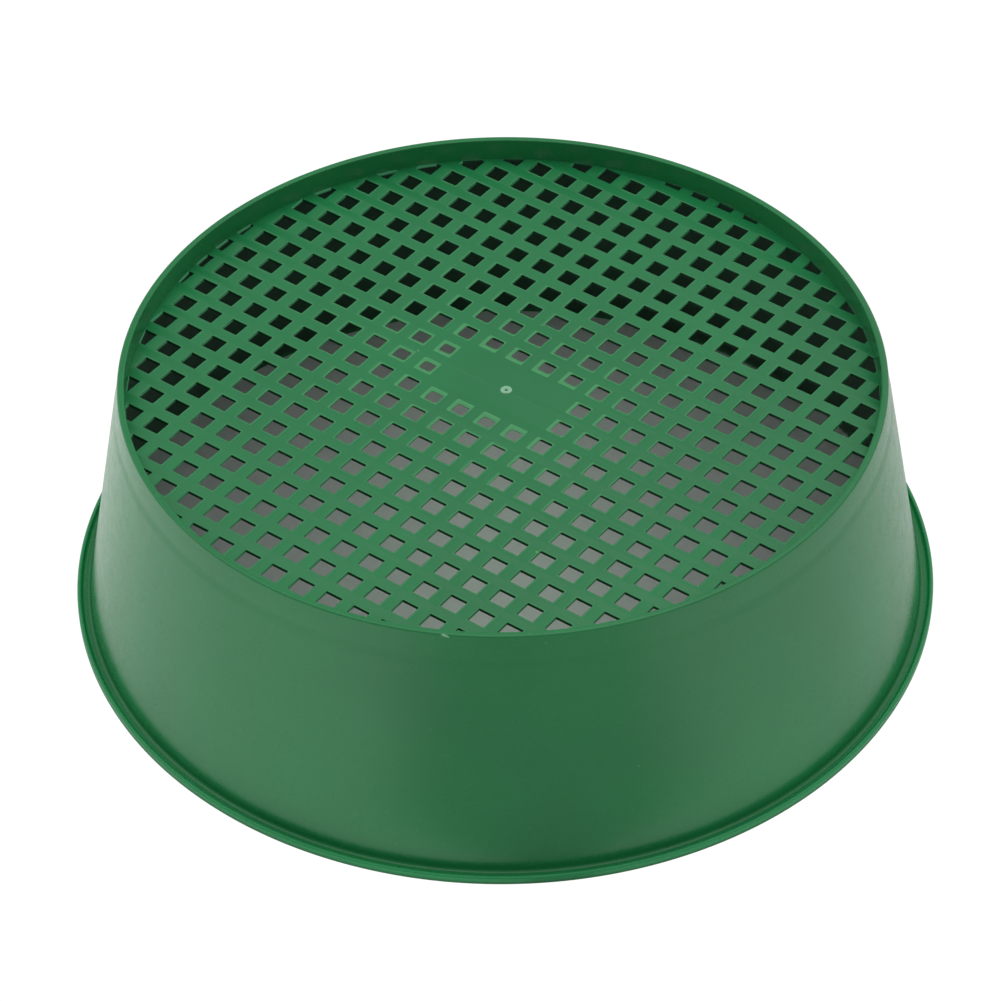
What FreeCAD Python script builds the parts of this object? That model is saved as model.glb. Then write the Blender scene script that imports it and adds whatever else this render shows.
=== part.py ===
"""Soil sieve, one injection moulding in green plastic, standing on its mouth with the grid on top.

Millimetres. Origin on the sieve's axis, in the plane that the mouth stands on. +Z runs up the axis from
the mouth to the foot ring. The bars of the grid run along X and Y, and the long side of the solid plate
in the middle of the grid runs along X.
"""

import FreeCAD, Part
import math
import os

# Overall shape
MOUTH_DIAMETER = 311.0
FOOT_DIAMETER = 268.8
OVERALL_HEIGHT = 96.0
GRID_RECESS = 8.8

# Wall and foot ring
WALL_THICKNESS = 2.5
FOOT_LAND = 2.4
FOOT_INNER_EDGE_RADIUS = 0.5
FOOT_OUTER_EDGE_RADIUS = 0.8

# Turned-over rim of the mouth: a flat flange whose edge turns up round a gutter
FLANGE_THICKNESS = 1.8
LIP_HEIGHT = 3.6
LIP_THICKNESS = 1.6
GUTTER_WIDTH = 3.5
GUTTER_COVE_RADIUS = 1.2
LIP_EDGE_RADIUS = 0.5
FLANGE_EDGE_RADIUS = 0.6

# Grid
HOLE_PITCH = 11.5
HOLE_SIDE = 6.9
GRID_THICKNESS = 1.4
PLATE_PITCHES_X = 4
PLATE_PITCHES_Y = 2
SMALLEST_CUT_HOLE = 0.15  # share of a whole hole's area

# Gate mark
GATE_OUTER_RADIUS = 2.1
GATE_INNER_RADIUS = 0.8
GATE_HEIGHT = 0.3
GATE_OFFSET_X = 1.6
GATE_OFFSET_Y = -0.1

# Distance under which two points of a profile are the same point
SAME_POINT = 1e-6

# Worked out from the sizes above
MOUTH_RADIUS = MOUTH_DIAMETER / 2
FOOT_RADIUS = FOOT_DIAMETER / 2
FOOT_INNER_RADIUS = FOOT_RADIUS - FOOT_LAND
GRID_TOP = OVERALL_HEIGHT - GRID_RECESS
GRID_UNDERSIDE = GRID_TOP - GRID_THICKNESS
LIP_INNER_RADIUS = MOUTH_RADIUS - LIP_THICKNESS
WALL_RADIUS_AT_LIP = LIP_INNER_RADIUS - GUTTER_WIDTH
WALL_TAPER = (WALL_RADIUS_AT_LIP - FOOT_RADIUS) / (OVERALL_HEIGHT - LIP_HEIGHT)
WALL_DRAFT = math.atan(WALL_TAPER)


def wall_outer(height):
    """Radius of the wall's outside at a height above the mouth's plane."""
    return FOOT_RADIUS + WALL_TAPER * (OVERALL_HEIGHT - height)


def wall_inner(height):
    """Radius of the wall's inside at a height above the mouth's plane."""
    return wall_outer(height) - WALL_THICKNESS


GRID_RADIUS = wall_inner(GRID_UNDERSIDE)


def unit(vector):
    """The vector at a length of one."""
    return vector / math.hypot(vector.x, vector.z)


def corner_arc(before, corner, after, radius):
    """Start, middle and end of the arc that rounds a corner of a profile."""
    to_before = unit(before - corner)
    to_after = unit(after - corner)
    half_angle = math.acos(to_before.dot(to_after)) / 2
    tangent = radius / math.tan(half_angle)
    bisector = unit(to_before + to_after)
    centre_distance = radius / math.sin(half_angle)
    start = corner + to_before * tangent
    middle = corner + bisector * (centre_distance - radius)
    end = corner + to_after * tangent
    return start, middle, end


def profile_face(corners):
    """Face in the XZ plane from (radius from the axis, height, rounding) corners, in order."""
    points = [FreeCAD.Vector(radius, 0, height) for radius, height, rounding in corners]
    count = len(corners)
    stretches = []
    for index, (radius, height, rounding) in enumerate(corners):
        corner = points[index]
        if rounding:
            stretches.append(corner_arc(points[index - 1], corner, points[(index + 1) % count], rounding))
        else:
            stretches.append((corner, corner, corner))
    edges = []
    for index, (start, middle, end) in enumerate(stretches):
        if start != end:
            edges.append(Part.Arc(start, middle, end).toShape())
        following = stretches[(index + 1) % count][0]
        if not end.isEqual(following, SAME_POINT):
            edges.append(Part.LineSegment(end, following).toShape())
    return Part.Face(Part.Wire(edges))


def turned(corners):
    """Solid of revolution about Z from a profile's corners."""
    return profile_face(corners).revolve(FreeCAD.Vector(0, 0, 0), FreeCAD.Vector(0, 0, 1), 360)


def gutter_cove():
    """Ring with a concave face, which fills the corner between the wall's outside and the gutter's floor."""
    corner = FreeCAD.Vector(wall_outer(FLANGE_THICKNESS), 0, FLANGE_THICKNESS)
    outwards = FreeCAD.Vector(1, 0, 0)
    up_the_wall = FreeCAD.Vector(-math.sin(WALL_DRAFT), 0, math.cos(WALL_DRAFT))
    start, middle, end = corner_arc(corner + outwards, corner, corner + up_the_wall, GUTTER_COVE_RADIUS)
    edges = [
        Part.LineSegment(corner, start).toShape(),
        Part.Arc(start, middle, end).toShape(),
        Part.LineSegment(end, corner).toShape(),
    ]
    section = Part.Face(Part.Wire(edges))
    return section.revolve(FreeCAD.Vector(0, 0, 0), FreeCAD.Vector(0, 0, 1), 360)


def side_wall():
    """Tapering wall from the flange to the grid's top, with the cove that joins it to the gutter."""
    wall = turned([
        (wall_inner(FLANGE_THICKNESS), FLANGE_THICKNESS, 0),
        (wall_outer(FLANGE_THICKNESS), FLANGE_THICKNESS, 0),
        (wall_outer(GRID_TOP), GRID_TOP, 0),
        (GRID_RADIUS, GRID_TOP, 0),
        (GRID_RADIUS, GRID_UNDERSIDE, 0),
    ])
    return wall.fuse(gutter_cove()).removeSplitter()


def mouth_flange():
    """Flat ring that the sieve stands on, from the mouth's inside to the outer edge."""
    return turned([
        (wall_inner(0), 0, 0),
        (MOUTH_RADIUS, 0, FLANGE_EDGE_RADIUS),
        (MOUTH_RADIUS, FLANGE_THICKNESS, 0),
        (wall_inner(FLANGE_THICKNESS), FLANGE_THICKNESS, 0),
    ])


def rim_lip():
    """Upright edge of the flange, rounded on top."""
    return turned([
        (LIP_INNER_RADIUS, FLANGE_THICKNESS, 0),
        (MOUTH_RADIUS, FLANGE_THICKNESS, 0),
        (MOUTH_RADIUS, LIP_HEIGHT, LIP_EDGE_RADIUS),
        (LIP_INNER_RADIUS, LIP_HEIGHT, LIP_EDGE_RADIUS),
    ])


def foot_ring():
    """Short wall above the grid: upright inside, following the wall's taper outside."""
    return turned([
        (FOOT_INNER_RADIUS, GRID_TOP, 0),
        (wall_outer(GRID_TOP), GRID_TOP, 0),
        (FOOT_RADIUS, OVERALL_HEIGHT, FOOT_OUTER_EDGE_RADIUS),
        (FOOT_INNER_RADIUS, OVERALL_HEIGHT, FOOT_INNER_EDGE_RADIUS),
    ])


def rectangle(centre_x, centre_y, size_x, size_y):
    """Closed rectangle in the plane of the grid's underside."""
    low = FreeCAD.Vector(centre_x - size_x / 2, centre_y - size_y / 2, GRID_UNDERSIDE)
    corners = [
        low,
        low + FreeCAD.Vector(size_x, 0, 0),
        low + FreeCAD.Vector(size_x, size_y, 0),
        low + FreeCAD.Vector(0, size_y, 0),
        low,
    ]
    return Part.makePolygon(corners)


def circle(radius):
    """Circle about the axis in the plane of the grid's underside."""
    return Part.Wire(Part.makeCircle(radius, FreeCAD.Vector(0, 0, GRID_UNDERSIDE)))


def plate_size():
    """Length and width of the solid plate, up to the bars of the grid round it."""
    bar = HOLE_PITCH - HOLE_SIDE
    return PLATE_PITCHES_X * HOLE_PITCH - bar, PLATE_PITCHES_Y * HOLE_PITCH - bar


def hole_centres():
    """Centres of all holes that reach inside the foot ring, without those of the solid plate.

    The axis runs through a crossing of two bars, so the centres lie at odd half pitches.
    """
    half_length = PLATE_PITCHES_X * HOLE_PITCH / 2
    half_width = PLATE_PITCHES_Y * HOLE_PITCH / 2
    steps = math.ceil(FOOT_INNER_RADIUS / HOLE_PITCH) + 1
    for column in range(-steps, steps):
        for row in range(-steps, steps):
            x = (column + 0.5) * HOLE_PITCH
            y = (row + 0.5) * HOLE_PITCH
            if abs(x) > half_length or abs(y) > half_width:
                yield x, y


def hole_outlines():
    """Outline of each hole: a square, or what the foot ring's inside leaves of one."""
    inside = Part.Face(circle(FOOT_INNER_RADIUS))
    outlines = []
    for x, y in hole_centres():
        far_corner = math.hypot(abs(x) + HOLE_SIDE / 2, abs(y) + HOLE_SIDE / 2)
        near_corner = math.hypot(abs(x) - HOLE_SIDE / 2, abs(y) - HOLE_SIDE / 2)
        square = rectangle(x, y, HOLE_SIDE, HOLE_SIDE)
        if far_corner < FOOT_INNER_RADIUS:
            outlines.append(square)
        elif near_corner < FOOT_INNER_RADIUS:
            cut = Part.Face(square).common(inside)
            if cut.Area > SMALLEST_CUT_HOLE * HOLE_SIDE ** 2:
                outlines.append(cut.Faces[0].OuterWire)
    return outlines


def sieve_grid():
    """Round grid of square holes, with a window for the solid plate."""
    length, width = plate_size()
    disc = Part.Face([circle(GRID_RADIUS), rectangle(0, 0, length, width)] + hole_outlines())
    disc.validate()
    return disc.extrude(FreeCAD.Vector(0, 0, GRID_THICKNESS))


def centre_plate():
    """Unpierced rectangle in the middle of the grid."""
    length, width = plate_size()
    return Part.Face(rectangle(0, 0, length, width)).extrude(FreeCAD.Vector(0, 0, GRID_THICKNESS))


def gate_mark():
    """Low ring where the plastic entered the mould, a little off the axis."""
    base = FreeCAD.Vector(GATE_OFFSET_X, GATE_OFFSET_Y, GRID_TOP)
    disc = Part.makeCylinder(GATE_OUTER_RADIUS, GATE_HEIGHT, base)
    return disc.cut(Part.makeCylinder(GATE_INNER_RADIUS, GATE_HEIGHT, base))


def main():
    """Write one STEP file for each node."""
    os.makedirs("parts", exist_ok=True)
    for make in (side_wall, mouth_flange, rim_lip, foot_ring, sieve_grid, centre_plate, gate_mark):
        shape = make()
        if not shape.isValid():
            raise RuntimeError(make.__name__ + " is not a valid shape")
        shape.exportStep(os.path.join("parts", make.__name__ + ".step"))


main()
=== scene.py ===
import math
import random

import bmesh
import bpy
from mathutils import Matrix, Vector


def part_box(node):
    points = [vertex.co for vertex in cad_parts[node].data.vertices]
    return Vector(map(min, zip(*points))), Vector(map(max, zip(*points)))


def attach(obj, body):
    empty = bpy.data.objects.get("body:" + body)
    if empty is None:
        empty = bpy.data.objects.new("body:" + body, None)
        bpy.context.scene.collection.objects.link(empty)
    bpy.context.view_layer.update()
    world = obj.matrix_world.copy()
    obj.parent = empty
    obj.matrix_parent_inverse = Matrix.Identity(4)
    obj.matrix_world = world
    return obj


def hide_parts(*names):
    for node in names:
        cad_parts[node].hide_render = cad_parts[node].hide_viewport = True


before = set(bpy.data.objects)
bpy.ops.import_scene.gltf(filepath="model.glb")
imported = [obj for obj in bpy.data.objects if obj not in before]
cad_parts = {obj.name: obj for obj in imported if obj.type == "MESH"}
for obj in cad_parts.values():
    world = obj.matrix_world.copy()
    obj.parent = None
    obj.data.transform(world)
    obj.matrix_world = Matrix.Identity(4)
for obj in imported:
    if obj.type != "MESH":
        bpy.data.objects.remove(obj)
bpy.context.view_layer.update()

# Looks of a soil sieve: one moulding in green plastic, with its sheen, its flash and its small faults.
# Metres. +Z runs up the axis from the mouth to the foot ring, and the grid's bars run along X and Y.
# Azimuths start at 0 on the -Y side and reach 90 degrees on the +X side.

MM = 0.001

# Sizes of the moulding that the boxes of its nodes don't give
WALL_THICKNESS = 2.5 * MM
FOOT_LAND = 2.4 * MM
LIP_THICKNESS = 1.6 * MM
GUTTER_WIDTH = 3.5 * MM
HOLE_PITCH = 11.5 * MM
HOLE_SIDE = 6.9 * MM
PLATE_PITCHES_X = 4
PLATE_PITCHES_Y = 2
SMALLEST_CUT_HOLE = 0.15  # share of a whole hole's area

# Roundings
GUTTER_COVE_RADIUS = 1.2 * MM
FOOT_INNER_EDGE_RADIUS = 0.5 * MM
FOOT_OUTER_EDGE_RADIUS = 0.8 * MM
LIP_INNER_EDGE_RADIUS = 0.65 * MM
LIP_OUTER_EDGE_RADIUS = 0.9 * MM
FLANGE_EDGE_RADIUS = 1.1 * MM
HOLE_EDGE_RADIUS = 0.12 * MM

# Upper band of the outside, more upright than the wall. The turn between them lies below the grid's top.
BAND_SET_IN = 0.25 * MM
BAND_TURN_END = 0.8 * MM
BAND_TURN_START = 4.0 * MM
BAND_ROUNDING = 14.0 * MM

# Gate mark: a low ring with a dimple in it, in shares of the mark's radius and height
GATE_TOP_OUTSIDE = 0.9
GATE_TOP_INSIDE = 0.5
GATE_DIMPLE = 0.28
GATE_DIMPLE_FLOOR = 0.05
GATE_EDGE_RADIUS = 0.12 * MM

# Curl of plastic on the foot ring's outer edge: set in and low, in shares of its girth, and swinging
# out and down towards its far end
BURR_AZIMUTH = math.radians(28.2)
BURR_LENGTH = 3.6 * MM
BURR_GIRTH = 1.0 * MM
BURR_TIP = 0.08
BURR_BLUNTNESS = 0.7
BURR_SET_IN = 0.45
BURR_SWING_OUT = 0.75
BURR_SET_DOWN = 0.52
BURR_SWING_DOWN = 0.35
BURR_STEPS = 10
BURR_SIDES = 8

# Crumb of plastic on a bar of the grid
CRUMB_PLACE = (59.5 * MM, -61.4 * MM)
CRUMB_HALF_SIZE = (0.65 * MM, 0.55 * MM, 0.30 * MM)
CRUMB_SUBDIVISIONS = 3
CRUMB_UNEVEN = 0.1
CRUMB_SEED = 3

# Flash: a thin film that reaches into each hole from its -X, +X, -Y and +Y sides, in that order. Each
# width has an extra part that fades with the distance from the solid plate, in pitches, and another
# part for the holes on some sides of the plate.
FILM_THICKNESS = 0.22 * MM
FILM_WIDTHS = (0.12 * MM, 0.05 * MM, 0.08 * MM, 0.10 * MM)
FILM_EXTRA = (1.25 * MM, 0.15 * MM, 0.25 * MM, 0.10 * MM)
FILM_EXTRA_AT_PLUS_Y = (0.0, 0.0, 1.40 * MM, 0.0)
FILM_EXTRA_AT_MINUS_Y = (0.0, 0.0, 0.0, 1.60 * MM)
FILM_EXTRA_AT_MINUS_X = (0.0, 0.50 * MM, 1.00 * MM, 1.20 * MM)
FILM_UNEVEN = 0.12
FILM_CORNER = 0.25 * MM
FILM_CORNER_SHARE = 0.45  # of the film's greatest width
FLASH_FADE = 2.4
FLASH_FADE_FACING = 0.6
FLASH_SEED = 7

# Flash: a low bead on the bars round each hole, with its widths in the same order of sides
BEAD_WIDTHS = (0.20 * MM, 0.80 * MM, 0.70 * MM, 0.60 * MM)
BEAD_NARROWING = 0.45  # share of the width that is left where the flash is lightest
BEAD_HEIGHT = 0.12 * MM
BEAD_EDGE_HEIGHT = 0.01 * MM
BEAD_CREST_SHARE = 0.45
BEAD_CREST_CORNER = 0.4 * MM
BEAD_CORNER = 0.6 * MM

# How light the flash is, from 0 for thick plastic to 1: painted light that stands for light through the thin
# film, brightest as a painted highlight on the bead's crest
FLASH_LEAST_LIGHT = 0.30
FILM_LIGHT_SHARE = 0.6

# How finely the round parts are drawn, and what counts as one point, a sharp edge or a flat face
TURNS = 360
ARC_STEPS = 8
HOLE_EDGE_STEPS = 1
FLASH_CORNER_STEPS = 4
SAME_POINT = 1e-3 * MM
SHARP_EDGE = math.radians(30.0)
SHARP_HOLE_EDGE = math.radians(50.0)
LEVEL_FACE = 0.999  # least part of its normal that is upright
HOLE_WALL_FACING = 0.7  # least part of its normal that runs along the axis it faces

# Colours, as linear red, green and blue
WALL_GREEN = (0.018, 0.248, 0.076)
# The lip's green is a lighter copy of the wall's green: painted light on the lip.
LIT_LIP_GREEN = (0.020, 0.340, 0.110)
GRID_GREEN = (0.014, 0.242, 0.076)
FILM_GREEN = (0.085, 0.44, 0.155)
PALE_GREEN = (0.40, 0.76, 0.50)
BURR_GREEN = (0.30, 0.66, 0.38)
CRUMB_GREEN = (0.12, 0.60, 0.14)
SHADE_GREEN = (0.030, 0.105, 0.058)
HOLE_SHADE_GREEN = (0.006, 0.070, 0.030)
HOLE_LIT_GREEN = (0.12, 0.66, 0.29)
SPECK_COLOUR = (0.45, 0.60, 0.50)
FLOOR_WHITE = (0.85, 0.85, 0.85)

# Skin of the green plastic. Scales are in waves per metre, and the sink is drawn out along the axis.
CLOUD_SCALE = 18.0
CLOUD_RANGE = (0.35, 0.65)
CLOUD_SPREAD = 0.06
MOTTLE_SCALE = 220.0
MOTTLE_RANGE = (0.3, 0.7)
MOTTLE_SPREAD = 0.04
SINK_SCALE = 110.0
SINK_DEPTH = 0.015 * MM
SINK_DRAW = 0.12
GRAIN_SCALE = 2200.0
GRAIN_DEPTH = 0.006 * MM

# Specks of dust: cells per metre, the share of cells without one, and a radius in cells
SPECK_SCALE = 110.0
SPECK_RARITY = 0.8
SPECK_RADIUS = 0.06
SPECK_STRENGTH = 0.22

# Skin of the thin flash, and of plastic whitened by stress
FILM_PATCH_SCALE = 260.0
FILM_DARKEST = 0.85
FILM_RIPPLE_SCALE = 700.0
FILM_RIPPLE_DEPTH = 0.02 * MM
FILM_ROUGHNESS = 0.42
FILM_SPECULAR = 0.5
PALE_PATCH_SCALE = 900.0
PALE_DARKEST = 0.7
PALE_RIPPLE_SCALE = 1500.0
PALE_RIPPLE_DEPTH = 0.05 * MM
PALE_ROUGHNESS = 0.6

# Floor, and the white that it and the surroundings show to the camera
FLOOR_REACH = 6.0
FLOOR_GAP = 0.02 * MM
FLOOR_ROUGHNESS = 0.9
FLOOR_SPECULAR = 0.1
BACKDROP_WHITE = 1.05

# Painted light: glow of the floor outside the sieve, with a painted shadow, a dark wedge that points at the
# rim
FLOOR_GLOW = 0.58
FLOOR_GLOW_SIDE = 0.14
WEDGE_AZIMUTH = math.radians(43.0)
WEDGE_DARK_TO = math.radians(14.0)
WEDGE_LIT_FROM = math.radians(36.0)
WEDGE_LENGTH = 36.0 * MM
WEDGE_LEAST_WIDTH = 0.02
WEDGE_RINGS = 6
BACK_FADE = 0.42
BACK_FADE_REACH = math.radians(100.0)
CONTACT_SHADE_WIDTH = 6.0 * MM

# Painted light on the floor inside the sieve: a glowing oval patch that stands for the light that came through
# the grid
PATCH_GLOW = (0.094, 0.120, 0.098)
PATCH_RINGS = 16
PATCH_AZIMUTH = math.radians(36.8)
PATCH_OFFSET = 10.0 * MM
PATCH_REACH_ALONG = 88.0 * MM
PATCH_REACH_ACROSS = 56.0 * MM

# Camera, with its lens and sensor in millimetres
CAMERA_PLACE = Vector((0.65142, -0.86969, 1.01638))
CAMERA_TARGET = Vector((0.03418, -0.04769, 0.08720))
CAMERA_ROLL = math.radians(-0.77)
CAMERA_LENS = 146.69
CAMERA_SENSOR_WIDTH = 36.0
CAMERA_NEAR = 0.05
CAMERA_FAR = 50.0


def box_top(node):
    """Height of the highest point of a CAD node."""
    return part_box(node)[1].z


def box_bottom(node):
    """Height of the lowest point of a CAD node."""
    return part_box(node)[0].z


def box_radius(node):
    """Radius that stays inside the box of a CAD node that is turned about the axis."""
    low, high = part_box(node)
    return min(high.x, high.y, -low.x, -low.y)


# Worked out from the frame
MOUTH_RADIUS = box_radius("rim_lip")
LIP_INNER_RADIUS = MOUTH_RADIUS - LIP_THICKNESS
FLANGE_TOP = box_top("mouth_flange")
LIP_TOP = box_top("rim_lip")
GRID_TOP = box_bottom("foot_ring")
GRID_UNDERSIDE = box_bottom("sieve_grid")
GRID_RADIUS = box_radius("sieve_grid")
FOOT_TOP = box_top("foot_ring")
WALL_RADIUS_AT_GRID = box_radius("foot_ring")
WALL_TAPER = (LIP_INNER_RADIUS - GUTTER_WIDTH - WALL_RADIUS_AT_GRID) / (GRID_TOP - LIP_TOP)


def wall_outer(height):
    """Radius of the wall's outside at a height above the mouth's plane."""
    return WALL_RADIUS_AT_GRID + WALL_TAPER * (GRID_TOP - height)


def wall_inner(height):
    """Radius of the wall's inside at a height above the mouth's plane."""
    return wall_outer(height) - WALL_THICKNESS


def band_outer(height):
    """Radius of the upper band's outside, which meets the wall's line at the foot ring's top."""
    taper = WALL_TAPER - BAND_SET_IN / (FOOT_TOP - GRID_TOP)
    return wall_outer(FOOT_TOP) + taper * (FOOT_TOP - height)


FOOT_INNER_RADIUS = wall_outer(FOOT_TOP) - FOOT_LAND


# Outlines

def rounded(corners):
    """Points of a closed outline from (radius from the axis, height, rounding) corners.

    A corner with a rounding becomes an arc.
    """
    points = []
    for index, (radius, height, rounding) in enumerate(corners):
        corner = Vector((radius, height))
        if not rounding:
            points.append(corner)
            continue
        before = corner - Vector(corners[index - 1][:2])
        after = Vector(corners[(index + 1) % len(corners)][:2]) - corner
        turn = before.angle_signed(after) * -1
        tangent = rounding * math.tan(abs(turn) / 2)
        start = corner - before.normalized() * tangent
        side = Vector((-before.y, before.x)).normalized() * math.copysign(rounding, turn)
        centre = start + side
        for step in range(ARC_STEPS + 1):
            spoke = Matrix.Rotation(turn * step / ARC_STEPS, 2) @ (start - centre)
            points.append(centre + spoke)
    return points


def circle(radius):
    """Points of a circle about the axis, anticlockwise."""
    spoke = Vector((radius, 0.0))
    return [Matrix.Rotation(2 * math.pi * turn / TURNS, 2) @ spoke for turn in range(TURNS)]


def square(centre, side):
    """Corners of a square, anticlockwise."""
    half = side / 2
    return [centre + Vector(step) * half for step in ((-1, -1), (1, -1), (1, 1), (-1, 1))]


def rounded_rectangle(centre, reaches, rounding):
    """Points of a rectangle with rounded corners, anticlockwise.

    Its sides lie at four reaches from the centre towards -X, +X, -Y and +Y.
    """
    left = centre.x - reaches[0] + rounding
    right = centre.x + reaches[1] - rounding
    near = centre.y - reaches[2] + rounding
    far = centre.y + reaches[3] - rounding
    points = []
    for x, y, start in ((right, near, -90.0), (right, far, 0.0), (left, far, 90.0), (left, near, 180.0)):
        for step in range(FLASH_CORNER_STEPS + 1):
            angle = math.radians(start + 90.0 * step / FLASH_CORNER_STEPS)
            points.append(Vector((x + rounding * math.cos(angle), y + rounding * math.sin(angle))))
    return points


def area(outline):
    """Area of a closed outline that runs anticlockwise."""
    return sum(a.x * b.y - a.y * b.x for a, b in zip(outline, outline[1:] + outline[:1])) / 2


def inside_circle(corners, radius):
    """Outline of what a circle about the axis leaves of a convex outline, or nothing."""
    pieces = []
    for start, end in zip(corners, corners[1:] + corners[:1]):
        # The side crosses the circle at the roots of a quadratic in the share of its length
        along = end - start
        square_term = along.length_squared
        linear_term = start.dot(along)
        room = linear_term * linear_term - square_term * (start.length_squared - radius * radius)
        if room <= 0:
            continue
        enters = max(0.0, (-linear_term - math.sqrt(room)) / square_term)
        leaves = min(1.0, (-linear_term + math.sqrt(room)) / square_term)
        if enters < leaves:
            pieces.append((start + along * enters, start + along * leaves))
    outline = []
    for index, (start, end) in enumerate(pieces):
        outline += [start, end]
        following = pieces[(index + 1) % len(pieces)][0]
        if (following - end).length > SAME_POINT:
            turn = math.atan2(end.x * following.y - end.y * following.x, end.dot(following))
            outline += [Matrix.Rotation(turn * step / ARC_STEPS, 2) @ end for step in range(1, ARC_STEPS)]
    return [point for index, point in enumerate(outline) if (point - outline[index - 1]).length > SAME_POINT]


def hole_centres():
    """Centres of the holes out to the foot ring, without those that the solid plate takes up."""
    steps = math.ceil(FOOT_INNER_RADIUS / HOLE_PITCH) + 1
    for column in range(-steps, steps):
        for row in range(-steps, steps):
            centre = Vector((column + 0.5, row + 0.5)) * HOLE_PITCH
            beyond_x = abs(column + 0.5) > PLATE_PITCHES_X / 2
            beyond_y = abs(row + 0.5) > PLATE_PITCHES_Y / 2
            if beyond_x or beyond_y:
                yield centre


def hole_outlines():
    """Outline of each hole: a square, or what is left of one just inside the foot ring."""
    outlines = []
    for centre in hole_centres():
        outline = inside_circle(square(centre, HOLE_SIDE), FOOT_INNER_RADIUS - HOLE_EDGE_RADIUS)
        if len(outline) > 2 and area(outline) > SMALLEST_CUT_HOLE * HOLE_SIDE ** 2:
            outlines.append(outline)
    return outlines


# Meshes

def new_piece(name, mesh, material, slot, *nodes):
    """An object that rides on the frame and stands for the CAD nodes given."""
    piece = bpy.data.objects.new(name, mesh)
    bpy.context.collection.objects.link(piece)
    mesh.materials.clear()
    mesh.materials.append(material)
    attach(piece, "root")
    if nodes:
        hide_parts(*nodes)
    return piece


def colour_faces(piece, material, is_chosen):
    """Give the faces of a piece that pass the test another material."""
    piece.data.materials.append(material)
    added = len(piece.data.materials) - 1
    for face in piece.data.polygons:
        if is_chosen(face):
            face.material_index = added


def smooth_but_edges(mesh):
    """Smooth shading, broken at sharp edges."""
    mesh.polygons.foreach_set("use_smooth", [True] * len(mesh.polygons))
    mesh.set_sharp_from_angle(angle=SHARP_EDGE)


def weld(mesh):
    """Join the points of a mesh that lie on each other, and turn its faces outwards."""
    drawn = bmesh.new()
    drawn.from_mesh(mesh)
    bmesh.ops.remove_doubles(drawn, verts=drawn.verts, dist=SAME_POINT)
    bmesh.ops.recalc_face_normals(drawn, faces=drawn.faces)
    drawn.to_mesh(mesh)
    drawn.free()


def faces_between(first, rows, count, is_closed):
    """Faces between rows of points, where each row is a loop and the points are numbered from the first.

    In a closed mesh the last row is joined to the first one too.
    """
    faces = []
    for row in range(rows if is_closed else rows - 1):
        here = first + row * count
        there = first + (row + 1) % rows * count
        for index in range(count):
            beside = (index + 1) % count
            faces.append((here + index, there + index, there + beside, here + beside))
    return faces


def turned(name, corners):
    """Closed mesh of a profile turned about the axis."""
    profile = rounded(corners)
    points = []
    for turn in range(TURNS):
        angle = 2 * math.pi * turn / TURNS
        points += [(radius * math.cos(angle), radius * math.sin(angle), height) for radius, height in profile]
    mesh = bpy.data.meshes.new(name)
    mesh.from_pydata(points, [], faces_between(0, TURNS, len(profile), True))
    weld(mesh)
    smooth_but_edges(mesh)
    return mesh


def sheet_with_holes(name, outlines, underside, thickness, edge_radius):
    """Closed mesh of a flat sheet: even-odd outlines filled, thickened and softened at the edges."""
    curve = bpy.data.curves.new(name, "CURVE")
    curve.dimensions = "2D"
    curve.fill_mode = "BOTH"
    curve.extrude = thickness / 2 - edge_radius
    curve.bevel_depth = edge_radius
    curve.bevel_resolution = HOLE_EDGE_STEPS
    curve.offset = -edge_radius
    for outline in outlines:
        spline = curve.splines.new("POLY")
        spline.points.add(len(outline) - 1)
        for point, place in zip(spline.points, outline):
            point.co = (place.x, place.y, 0.0, 1.0)
        spline.use_cyclic_u = True
    drawing = bpy.data.objects.new(name, curve)
    mesh = bpy.data.meshes.new_from_object(drawing)
    bpy.data.objects.remove(drawing)
    bpy.data.curves.remove(curve)
    weld(mesh)
    mesh.transform(Matrix.Translation((0, 0, underside + thickness / 2)))
    for face in mesh.polygons:
        face.use_smooth = abs(face.normal.z) < LEVEL_FACE
    mesh.set_sharp_from_angle(angle=SHARP_HOLE_EDGE)
    return mesh


# Flash

def beyond_plate(centre):
    """How far a hole's centre lies beyond the solid plate along X and along Y, in pitches."""
    beyond_x = max(abs(centre.x) / HOLE_PITCH - PLATE_PITCHES_X / 2, 0.0)
    beyond_y = max(abs(centre.y) / HOLE_PITCH - PLATE_PITCHES_Y / 2, 0.0)
    return beyond_x, beyond_y


def rows_from_plate(centre):
    """How many rows of holes lie between a hole and the solid plate."""
    return max(beyond_plate(centre)) - 0.5


def film_widths(centre, chance):
    """Widths of the film on the -X, +X, -Y and +Y sides of a hole, a little uneven."""
    beyond_x, beyond_y = beyond_plate(centre)
    away = rows_from_plate(centre)
    fade = math.exp(-away / FLASH_FADE)
    facing = (0.0, 0.0, 0.0, 0.0)
    fade_facing = math.exp(-away / FLASH_FADE_FACING)
    if not beyond_x:
        facing = FILM_EXTRA_AT_PLUS_Y if centre.y > 0 else FILM_EXTRA_AT_MINUS_Y
    elif not beyond_y and centre.x < 0:
        facing = FILM_EXTRA_AT_MINUS_X
        fade_facing = fade
    widths = []
    for least, extra, more in zip(FILM_WIDTHS, FILM_EXTRA, facing):
        uneven = 1 + FILM_UNEVEN * chance.uniform(-1, 1)
        widths.append((least + extra * fade + more * fade_facing) * uneven)
    return widths


def painted_flash_light(centre):
    """How light the flash of a hole is, from 0 to 1, as painted light: lightest beside the plate, where it is
    thinnest.
    """
    return FLASH_LEAST_LIGHT + (1.0 - FLASH_LEAST_LIGHT) * math.exp(-rows_from_plate(centre) / FLASH_FADE)


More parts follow.
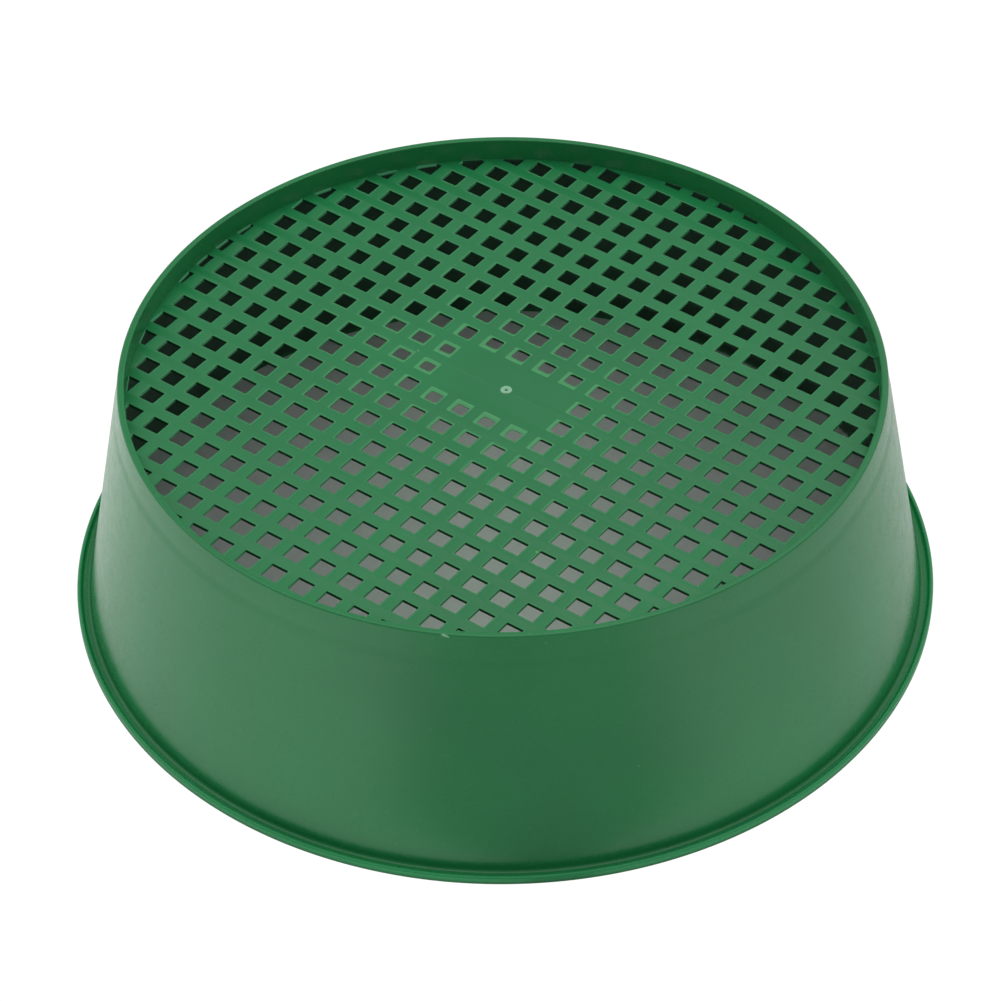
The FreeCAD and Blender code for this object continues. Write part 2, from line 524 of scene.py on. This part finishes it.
def flash_loops(centre, chance):
    """Loops of points of one hole's flash, from the film's inner edge over the bead and back underneath.

    Each loop is its points, their height and how light they are. The light is painted, and the crest is
    lightest as a painted highlight.
    """
    half = HOLE_SIDE / 2
    light = painted_flash_light(centre)
    inner = [half - width for width in film_widths(centre, chance)]
    outer = [half + width * BEAD_NARROWING ** light for width in BEAD_WIDTHS]
    crest = [half + BEAD_CREST_SHARE * (reach - half) for reach in outer]
    film_edge = rounded_rectangle(centre, inner, FILM_CORNER + FILM_CORNER_SHARE * (half - min(inner)))
    ridge = rounded_rectangle(centre, crest, BEAD_CREST_CORNER)
    bead_edge = rounded_rectangle(centre, outer, BEAD_CORNER)
    return (
        (film_edge, GRID_TOP - FILM_THICKNESS, light * FILM_LIGHT_SHARE),
        (film_edge, GRID_TOP, light * FILM_LIGHT_SHARE),
        # The crest is lightest: a painted highlight.
        (ridge, GRID_TOP + BEAD_HEIGHT, light),
        (bead_edge, GRID_TOP + BEAD_EDGE_HEIGHT, 0.0),
        (bead_edge, GRID_TOP - FILM_THICKNESS, 0.0),
    )


# Materials

def material_tree(name):
    """A new material with a Principled shader: the material, its nodes' tree and the shader."""
    made = bpy.data.materials.new(name)
    made.use_nodes = True
    tree = made.node_tree
    return made, tree, tree.nodes["Principled BSDF"]


def place_in_metres(tree):
    """The point being shaded, in the sieve's own frame."""
    return tree.nodes.new("ShaderNodeTexCoord").outputs["Object"]


def noise(tree, place, scale, detail):
    """Noise from 0 to 1, with a scale in waves per metre."""
    made = tree.nodes.new("ShaderNodeTexNoise")
    made.inputs["Scale"].default_value = scale
    made.inputs["Detail"].default_value = detail
    tree.links.new(place, made.inputs["Vector"])
    return made.outputs["Fac"]


def remap(tree, value, low, high, to_low, to_high):
    """Value taken from one range to another, and held at its ends."""
    made = tree.nodes.new("ShaderNodeMapRange")
    for name, number in (("From Min", low), ("From Max", high), ("To Min", to_low), ("To Max", to_high)):
        made.inputs[name].default_value = number
    tree.links.new(value, made.inputs["Value"])
    return made.outputs["Result"]


def tinted(colour, share):
    """Colour with all its channels multiplied by a share."""
    return tuple(channel * share for channel in colour)


def blend_colours(tree, share, first, second):
    """Colour between two others, each a socket or a plain colour."""
    made = tree.nodes.new("ShaderNodeMix")
    made.data_type = "RGBA"
    tree.links.new(share, made.inputs["Factor"])
    # Of the sockets that share a name, these are the ones for colours
    first_input = made.inputs[6]
    second_input = made.inputs[7]
    blended = made.outputs[2]
    for socket, colour in ((first_input, first), (second_input, second)):
        if isinstance(colour, tuple):
            socket.default_value = (*colour, 1.0)
        else:
            tree.links.new(colour, socket)
    return blended


def bump(tree, height, depth, below=None):
    """Normal of a surface whose height runs from 0 to depth in metres, laid over another normal."""
    made = tree.nodes.new("ShaderNodeBump")
    made.inputs["Strength"].default_value = 1.0
    made.inputs["Distance"].default_value = depth
    tree.links.new(height, made.inputs["Height"])
    if below is not None:
        tree.links.new(below, made.inputs["Normal"])
    return made.outputs["Normal"]


def specks(tree, place, colour):
    """Colour with a few small pale specks of dust on it."""
    cells = tree.nodes.new("ShaderNodeTexVoronoi")
    cells.inputs["Scale"].default_value = SPECK_SCALE
    tree.links.new(place, cells.inputs["Vector"])
    parts = tree.nodes.new("ShaderNodeSeparateColor")
    tree.links.new(cells.outputs["Color"], parts.inputs["Color"])
    radius = remap(tree, parts.outputs["Red"], SPECK_RARITY, 1.0, 0.0, SPECK_RADIUS)
    near = tree.nodes.new("ShaderNodeMath")
    near.operation = "LESS_THAN"
    tree.links.new(cells.outputs["Distance"], near.inputs[0])
    tree.links.new(radius, near.inputs[1])
    faint = remap(tree, near.outputs["Value"], 0.0, 1.0, 0.0, SPECK_STRENGTH)
    return blend_colours(tree, faint, colour, SPECK_COLOUR)


def green_plastic(name, colour, roughness, specular):
    """Moulded green plastic: cloudy colour, satin skin with a fine grain and slow sink."""
    made, tree, shader = material_tree(name)
    place = place_in_metres(tree)
    cloud = remap(tree, noise(tree, place, CLOUD_SCALE, detail=3.0), *CLOUD_RANGE, 0.0, 1.0)
    base = blend_colours(tree, cloud, tinted(colour, 1 - CLOUD_SPREAD), tinted(colour, 1 + CLOUD_SPREAD))
    tree.links.new(specks(tree, place, base), shader.inputs["Base Color"])
    mottle = noise(tree, place, MOTTLE_SCALE, detail=4.0)
    uneven = remap(tree, mottle, *MOTTLE_RANGE, roughness - MOTTLE_SPREAD, roughness + MOTTLE_SPREAD)
    tree.links.new(uneven, shader.inputs["Roughness"])
    shader.inputs["Specular IOR Level"].default_value = specular
    drawn = tree.nodes.new("ShaderNodeMapping")
    drawn.inputs["Scale"].default_value = (1.0, 1.0, SINK_DRAW)
    tree.links.new(place, drawn.inputs["Vector"])
    sink = bump(tree, noise(tree, drawn.outputs["Vector"], SINK_SCALE, detail=3.0), SINK_DEPTH)
    grain = bump(tree, noise(tree, place, GRAIN_SCALE, detail=2.0), GRAIN_DEPTH, sink)
    tree.links.new(grain, shader.inputs["Normal"])
    return made


def flash_plastic(name, thick, thin):
    """Thin plastic that lets light through, painted as a lighter colour between the colour of thick plastic
    and that of a thin film, with a painted highlight on the bead's crest.
    """
    made, tree, shader = material_tree(name)
    place = place_in_metres(tree)
    painted_lightness = tree.nodes.new("ShaderNodeAttribute")
    painted_lightness.attribute_name = "painted_lightness"
    patch = noise(tree, place, FILM_PATCH_SCALE, detail=3.0)
    film = blend_colours(tree, patch, tinted(thin, FILM_DARKEST), thin)
    tree.links.new(blend_colours(tree, painted_lightness.outputs["Fac"], thick, film), shader.inputs["Base Color"])
    shader.inputs["Roughness"].default_value = FILM_ROUGHNESS
    shader.inputs["Specular IOR Level"].default_value = FILM_SPECULAR
    ripple = noise(tree, place, FILM_RIPPLE_SCALE, detail=3.0)
    tree.links.new(bump(tree, ripple, FILM_RIPPLE_DEPTH), shader.inputs["Normal"])
    return made


def pale_plastic(name, colour):
    """Plastic whitened by stress, rough and uneven."""
    made, tree, shader = material_tree(name)
    place = place_in_metres(tree)
    patch = noise(tree, place, PALE_PATCH_SCALE, detail=3.0)
    uneven = blend_colours(tree, patch, tinted(colour, PALE_DARKEST), colour)
    tree.links.new(uneven, shader.inputs["Base Color"])
    shader.inputs["Roughness"].default_value = PALE_ROUGHNESS
    ripple = noise(tree, place, PALE_RIPPLE_SCALE, detail=3.0)
    tree.links.new(bump(tree, ripple, PALE_RIPPLE_DEPTH), shader.inputs["Normal"])
    return made


wall_green = green_plastic("wall_green", WALL_GREEN, roughness=0.25, specular=0.45)
lit_lip_green = green_plastic("lit_lip_green", LIT_LIP_GREEN, roughness=0.3, specular=0.45)
grid_green = green_plastic("grid_green", GRID_GREEN, roughness=0.42, specular=0.47)
shade_green = green_plastic("shade_green", SHADE_GREEN, roughness=0.5, specular=0.3)
hole_shade_green = green_plastic("hole_shade_green", HOLE_SHADE_GREEN, roughness=0.5, specular=0.3)
hole_lit_green = green_plastic("hole_lit_green", HOLE_LIT_GREEN, roughness=0.42, specular=0.47)
film_green = flash_plastic("film_green", thick=GRID_GREEN, thin=FILM_GREEN)
burr_green = pale_plastic("burr_green", BURR_GREEN)
crumb_green = pale_plastic("crumb_green", CRUMB_GREEN)
pale_green = pale_plastic("pale_green", PALE_GREEN)


# Pieces

def make_rim_burr():
    """Curl of plastic on the foot ring's outer edge."""
    ring_radius = wall_outer(FOOT_TOP)
    points = []
    for step in range(BURR_STEPS + 1):
        share = step / BURR_STEPS
        angle = BURR_AZIMUTH + (share - 0.5) * BURR_LENGTH / ring_radius
        wave = math.pi * (BURR_TIP + (1 - 2 * BURR_TIP) * share)
        girth = BURR_GIRTH * math.sin(wave) ** BURR_BLUNTNESS
        radius = ring_radius - BURR_GIRTH * (BURR_SET_IN - BURR_SWING_OUT * share ** 2)
        height = FOOT_TOP - BURR_GIRTH * (BURR_SET_DOWN + BURR_SWING_DOWN * share ** 2)
        for side in range(BURR_SIDES):
            turn = 2 * math.pi * side / BURR_SIDES
            out = radius + girth * math.cos(turn) / 2
            points.append((out * math.sin(angle), -out * math.cos(angle), height + girth * math.sin(turn) / 2))
    ends = [tuple(range(BURR_SIDES)), tuple(reversed(range(BURR_STEPS * BURR_SIDES, len(points))))]
    mesh = bpy.data.meshes.new("rim_burr")
    mesh.from_pydata(points, [], ends + faces_between(0, BURR_STEPS + 1, BURR_SIDES, False))
    smooth_but_edges(mesh)
    new_piece("rim_burr", mesh, burr_green, "green_wall")


def make_grid_crumb():
    """Crumb of plastic on a bar of the grid."""
    crumb = bmesh.new()
    bmesh.ops.create_icosphere(crumb, subdivisions=CRUMB_SUBDIVISIONS, radius=1.0)
    chance = random.Random(CRUMB_SEED)
    for vertex in crumb.verts:
        vertex.co *= 1 + CRUMB_UNEVEN * chance.uniform(-1, 1)
    bmesh.ops.scale(crumb, verts=crumb.verts, vec=CRUMB_HALF_SIZE)
    bmesh.ops.translate(crumb, verts=crumb.verts, vec=(*CRUMB_PLACE, GRID_TOP))
    mesh = bpy.data.meshes.new("grid_crumb")
    crumb.to_mesh(mesh)
    crumb.free()
    smooth_but_edges(mesh)
    new_piece("grid_crumb", mesh, crumb_green, "green_grid")


def make_side_wall():
    """Tapering wall with the cove that joins it to the gutter, darker inside."""
    # Length of gutter floor that the cove's arc takes up
    cove_reach = GUTTER_COVE_RADIUS * math.tan(math.radians(45.0) - math.atan(WALL_TAPER) / 2)
    corners = [
        (wall_inner(FLANGE_TOP), FLANGE_TOP, 0),
        (wall_outer(FLANGE_TOP) + cove_reach, FLANGE_TOP, 0),
        (wall_outer(FLANGE_TOP), FLANGE_TOP, GUTTER_COVE_RADIUS),
        (wall_outer(GRID_TOP - BAND_TURN_START), GRID_TOP - BAND_TURN_START, BAND_ROUNDING),
        (band_outer(GRID_TOP - BAND_TURN_END), GRID_TOP - BAND_TURN_END, BAND_ROUNDING),
        (band_outer(GRID_TOP), GRID_TOP, 0),
        (GRID_RADIUS, GRID_TOP, 0),
        (GRID_RADIUS, GRID_UNDERSIDE, 0),
    ]
    piece = new_piece("wall_skin", turned("wall_skin", corners), wall_green, "green_wall", "side_wall")
    colour_faces(piece, shade_green, lambda face: face.normal.xy.dot(face.center.xy) < 0)


def make_mouth_flange():
    """Flat ring that the sieve stands on."""
    corners = [
        (wall_inner(0), 0, 0),
        (MOUTH_RADIUS, 0, FLANGE_EDGE_RADIUS),
        (MOUTH_RADIUS, FLANGE_TOP, 0),
        (wall_inner(FLANGE_TOP), FLANGE_TOP, 0),
    ]
    new_piece("flange_skin", turned("flange_skin", corners), wall_green, "green_wall", "mouth_flange")


def make_rim_lip():
    """Upright edge of the flange, rounded on top and coved on its gutter side."""
    corners = [
        (LIP_INNER_RADIUS - GUTTER_COVE_RADIUS, FLANGE_TOP, 0),
        (MOUTH_RADIUS, FLANGE_TOP, 0),
        (MOUTH_RADIUS, LIP_TOP, LIP_OUTER_EDGE_RADIUS),
        (LIP_INNER_RADIUS, LIP_TOP, LIP_INNER_EDGE_RADIUS),
        (LIP_INNER_RADIUS, FLANGE_TOP, GUTTER_COVE_RADIUS),
    ]
    # The lip takes the lighter copy of the wall's green as painted light.
    new_piece("lip_skin", turned("lip_skin", corners), lit_lip_green, "green_wall", "rim_lip")


def make_foot_ring():
    """Short wall above the grid, upright inside."""
    corners = [
        (FOOT_INNER_RADIUS, GRID_TOP, 0),
        (band_outer(GRID_TOP), GRID_TOP, 0),
        (wall_outer(FOOT_TOP), FOOT_TOP, FOOT_OUTER_EDGE_RADIUS),
        (FOOT_INNER_RADIUS, FOOT_TOP, FOOT_INNER_EDGE_RADIUS),
    ]
    new_piece("foot_skin", turned("foot_skin", corners), wall_green, "green_wall", "foot_ring")


def make_grid():
    """Grid of square holes with its solid plate, in one sheet with soft hole edges.

    The hole walls that face -Y lie in shade, and those that face +X in light.
    """
    outlines = [circle(GRID_RADIUS)] + hole_outlines()
    thickness = GRID_TOP - GRID_UNDERSIDE
    mesh = sheet_with_holes("grid_skin", outlines, GRID_UNDERSIDE, thickness, HOLE_EDGE_RADIUS)
    piece = new_piece("grid_skin", mesh, grid_green, "green_grid", "sieve_grid", "centre_plate")
    colour_faces(piece, hole_shade_green, lambda face: face.normal.y < -HOLE_WALL_FACING)
    colour_faces(piece, hole_lit_green, lambda face: face.normal.x > HOLE_WALL_FACING)


def make_flash():
    """Film and bead round each whole hole that isn't too close to the foot ring."""
    chance = random.Random(FLASH_SEED)
    points = []
    lights = []
    faces = []
    reach = FOOT_INNER_RADIUS - max(BEAD_WIDTHS)
    for centre in hole_centres():
        if max(corner.length for corner in square(centre, HOLE_SIDE)) > reach:
            continue
        loops = flash_loops(centre, chance)
        count = len(loops[0][0])
        faces += faces_between(len(points), len(loops), count, True)
        for loop, height, light in loops:
            points += [(place.x, place.y, height) for place in loop]
            lights += [light] * count
    mesh = bpy.data.meshes.new("flash_film")
    mesh.from_pydata(points, [], faces)
    mesh.attributes.new("painted_lightness", "FLOAT", "POINT").data.foreach_set("value", lights)
    smooth_but_edges(mesh)
    new_piece("flash_film", mesh, film_green, "green_grid")


def make_gate_mark():
    """Low mark with a dimple, left where the plastic entered the mould."""
    low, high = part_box("gate_mark")
    centre = (low + high) / 2
    radius = (high.x - low.x) / 2
    top = high.z - low.z
    corners = [
        (0, 0, 0),
        (radius, 0, 0),
        (radius * GATE_TOP_OUTSIDE, top, GATE_EDGE_RADIUS),
        (radius * GATE_TOP_INSIDE, top, GATE_EDGE_RADIUS),
        (radius * GATE_DIMPLE, top * GATE_DIMPLE_FLOOR, 0),
        (0, top * GATE_DIMPLE_FLOOR, 0),
    ]
    mesh = turned("gate_skin", corners)
    mesh.transform(Matrix.Translation((centre.x, centre.y, low.z)))
    piece = new_piece("gate_skin", mesh, pale_green, "pale_gate", "gate_mark")
    # The dimple's floor takes the grid's darker green: painted shade in the dimple.
    colour_faces(piece, grid_green, lambda face: (face.center - centre).xy.length < radius * GATE_DIMPLE)


# Stage, light and camera

def eased(share):
    """Share held between 0 and 1, with a soft start and a soft end."""
    return math.sin(min(max(share, 0.0), 1.0) * math.pi / 2) ** 2


def outside_glow(place):
    """Strength of the floor's own light at a place outside the sieve.

    It is painted light, brighter on the left and weaker behind. Painted shadows take it away against the rim
    and in the dark wedge, which widens with the distance from the rim.
    """
    away = math.atan2(place.x, -place.y) - WEDGE_AZIMUTH
    away = math.atan2(math.sin(away), math.cos(away))
    beyond = max(place.xy.length - MOUTH_RADIUS, 0.0)
    widening = min(max(beyond / WEDGE_LENGTH, WEDGE_LEAST_WIDTH), 1.0)
    lit = eased((abs(away) / widening - WEDGE_DARK_TO) / (WEDGE_LIT_FROM - WEDGE_DARK_TO))
    lit *= min(beyond / CONTACT_SHADE_WIDTH, 1.0)
    faded = 1.0 - BACK_FADE * eased(abs(away) / BACK_FADE_REACH)
    return lit * (FLOOR_GLOW - FLOOR_GLOW_SIDE * math.sin(away)) * faded


def inside_glow(place):
    """Share of its full glow that the floor inside the sieve has at a place: most in the patch's middle."""
    towards = Vector((math.sin(PATCH_AZIMUTH), -math.cos(PATCH_AZIMUTH)))
    along = (place.xy.dot(towards) - PATCH_OFFSET) / PATCH_REACH_ALONG
    across = (place.y * towards.x - place.x * towards.y) / PATCH_REACH_ACROSS
    return math.exp(-along ** 2 - across ** 2)


def glow_attribute(tree):
    """The glow that the floor's mesh holds at each point."""
    made = tree.nodes.new("ShaderNodeAttribute")
    made.attribute_name = "glow"
    return made.outputs["Fac"]


def pale_floor(name):
    """A matt, pale material for the floor: the material, its nodes' tree and the shader."""
    made, tree, shader = material_tree(name)
    shader.inputs["Base Color"].default_value = (*FLOOR_WHITE, 1.0)
    shader.inputs["Roughness"].default_value = FLOOR_ROUGHNESS
    shader.inputs["Specular IOR Level"].default_value = FLOOR_SPECULAR
    return made, tree, shader


def inside_floor():
    """Pale floor with the painted light of the glowing patch."""
    made, tree, shader = pale_floor("floor_inside")
    shader.inputs["Emission Color"].default_value = (*PATCH_GLOW, 1.0)
    tree.links.new(glow_attribute(tree), shader.inputs["Emission Strength"])
    return made


def outside_floor():
    """Pale floor that glows on the sieve and shows as plain white to the camera."""
    made, tree, shader = pale_floor("floor_outside")
    glow = tree.nodes.new("ShaderNodeEmission")
    tree.links.new(glow_attribute(tree), glow.inputs["Strength"])
    both = tree.nodes.new("ShaderNodeAddShader")
    tree.links.new(shader.outputs["BSDF"], both.inputs[0])
    tree.links.new(glow.outputs["Emission"], both.inputs[1])
    plain = tree.nodes.new("ShaderNodeEmission")
    plain.inputs["Strength"].default_value = BACKDROP_WHITE
    seen = tree.nodes.new("ShaderNodeMixShader")
    rays = tree.nodes.new("ShaderNodeLightPath")
    tree.links.new(rays.outputs["Is Camera Ray"], seen.inputs["Fac"])
    tree.links.new(both.outputs["Shader"], seen.inputs[1])
    tree.links.new(plain.outputs["Emission"], seen.inputs[2])
    tree.links.new(seen.outputs["Shader"], tree.nodes["Material Output"].inputs["Surface"])
    return made


def make_floor_sheet(name, radii, glow_at, is_closed, material):
    """Floor between rings about the axis, from the widest inwards, with its glow at each point."""
    points = [(*spoke, -FLOOR_GAP) for radius in radii for spoke in circle(radius)]
    faces = []
    for ring in range(len(radii) - 1):
        for turn in range(TURNS):
            outer = ring * TURNS + turn
            beside = ring * TURNS + (turn + 1) % TURNS
            faces.append((outer, beside, beside + TURNS, outer + TURNS))
    if is_closed:
        faces.append(tuple(range(len(points) - TURNS, len(points))))
    mesh = bpy.data.meshes.new(name)
    mesh.from_pydata(points, [], faces)
    mesh.materials.append(material)
    glow = mesh.attributes.new("glow", "FLOAT", "POINT")
    glow.data.foreach_set("value", [glow_at(Vector(point)) for point in points])
    floor = bpy.data.objects.new(name, mesh)
    bpy.context.collection.objects.link(floor)


def make_floor():
    """Floor in two sheets that meet under the rim."""
    join = (wall_inner(0) + MOUTH_RADIUS) / 2
    steps = [WEDGE_LENGTH * ring / WEDGE_RINGS for ring in range(WEDGE_RINGS, -1, -1)]
    outside_radii = [FLOOR_REACH] + [MOUTH_RADIUS + step for step in steps] + [join]
    inside_radii = [join * ring / PATCH_RINGS for ring in range(PATCH_RINGS, 0, -1)]
    make_floor_sheet("floor_out", outside_radii, outside_glow, False, outside_floor())
    make_floor_sheet("floor_in", inside_radii, inside_glow, True, inside_floor())


def make_world(fill, lean, azimuth):
    """Surroundings that fill the shadows, stronger towards one azimuth, and show as plain white."""
    world = bpy.data.worlds.new("studio")
    bpy.context.scene.world = world
    world.use_nodes = True
    tree = world.node_tree
    background = tree.nodes["Background"]
    background.inputs["Color"].default_value = (1.0, 1.0, 1.0, 1.0)
    around = math.radians(azimuth)
    towards = tree.nodes.new("ShaderNodeVectorMath")
    towards.operation = "DOT_PRODUCT"
    tree.links.new(tree.nodes.new("ShaderNodeTexCoord").outputs["Generated"], towards.inputs[0])
    towards.inputs[1].default_value = (math.sin(around), -math.cos(around), 0.0)
    light = remap(tree, towards.outputs["Value"], -1.0, 1.0, fill * (1 - lean), fill * (1 + lean))
    rays = tree.nodes.new("ShaderNodeLightPath")
    seen = tree.nodes.new("ShaderNodeMix")
    tree.links.new(rays.outputs["Is Camera Ray"], seen.inputs["Factor"])
    tree.links.new(light, seen.inputs["A"])
    seen.inputs["B"].default_value = BACKDROP_WHITE
    tree.links.new(seen.outputs["Result"], background.inputs["Strength"])


def make_softbox(name, azimuth, elevation, distance, size, power):
    """Square soft light that faces the sieve from a direction in degrees."""
    light = bpy.data.lights.new(name, "AREA")
    light.shape = "SQUARE"
    light.size = size
    light.energy = power
    lamp = bpy.data.objects.new(name, light)
    bpy.context.collection.objects.link(lamp)
    around = math.radians(azimuth)
    up = math.radians(elevation)
    towards = Vector((math.sin(around) * math.cos(up), -math.cos(around) * math.cos(up), math.sin(up)))
    lamp.location = towards * distance
    lamp.rotation_euler = towards.to_track_quat("Z", "Y").to_euler()
    lamp.visible_camera = False


def make_camera():
    """Camera above the front right, looking down on the grid."""
    data = bpy.data.cameras.new("camera")
    data.sensor_width = CAMERA_SENSOR_WIDTH
    data.lens = CAMERA_LENS
    data.clip_start = CAMERA_NEAR
    data.clip_end = CAMERA_FAR
    camera = bpy.data.objects.new("camera", data)
    bpy.context.collection.objects.link(camera)
    camera.location = CAMERA_PLACE
    aim = (CAMERA_TARGET - CAMERA_PLACE).to_track_quat("-Z", "Y").to_matrix()
    camera.rotation_euler = (aim @ Matrix.Rotation(CAMERA_ROLL, 3, "Z")).to_euler()
    bpy.context.scene.camera = camera


make_rim_burr()
make_grid_crumb()
make_side_wall()
make_mouth_flange()
make_rim_lip()
make_foot_ring()
make_grid()
make_flash()
make_gate_mark()
make_floor()
make_world(fill=0.33, lean=0.6, azimuth=165.0)
make_softbox("softbox_left", azimuth=285.0, elevation=32.0, distance=1.5, size=1.8, power=4.6)
make_softbox("softbox_above", azimuth=225.0, elevation=85.0, distance=1.6, size=1.8, power=9.8)
make_softbox("softbox_behind", azimuth=180.0, elevation=45.0, distance=1.8, size=1.2, power=1.6)
make_camera()
bpy.context.scene.view_settings.view_transform = "Standard"
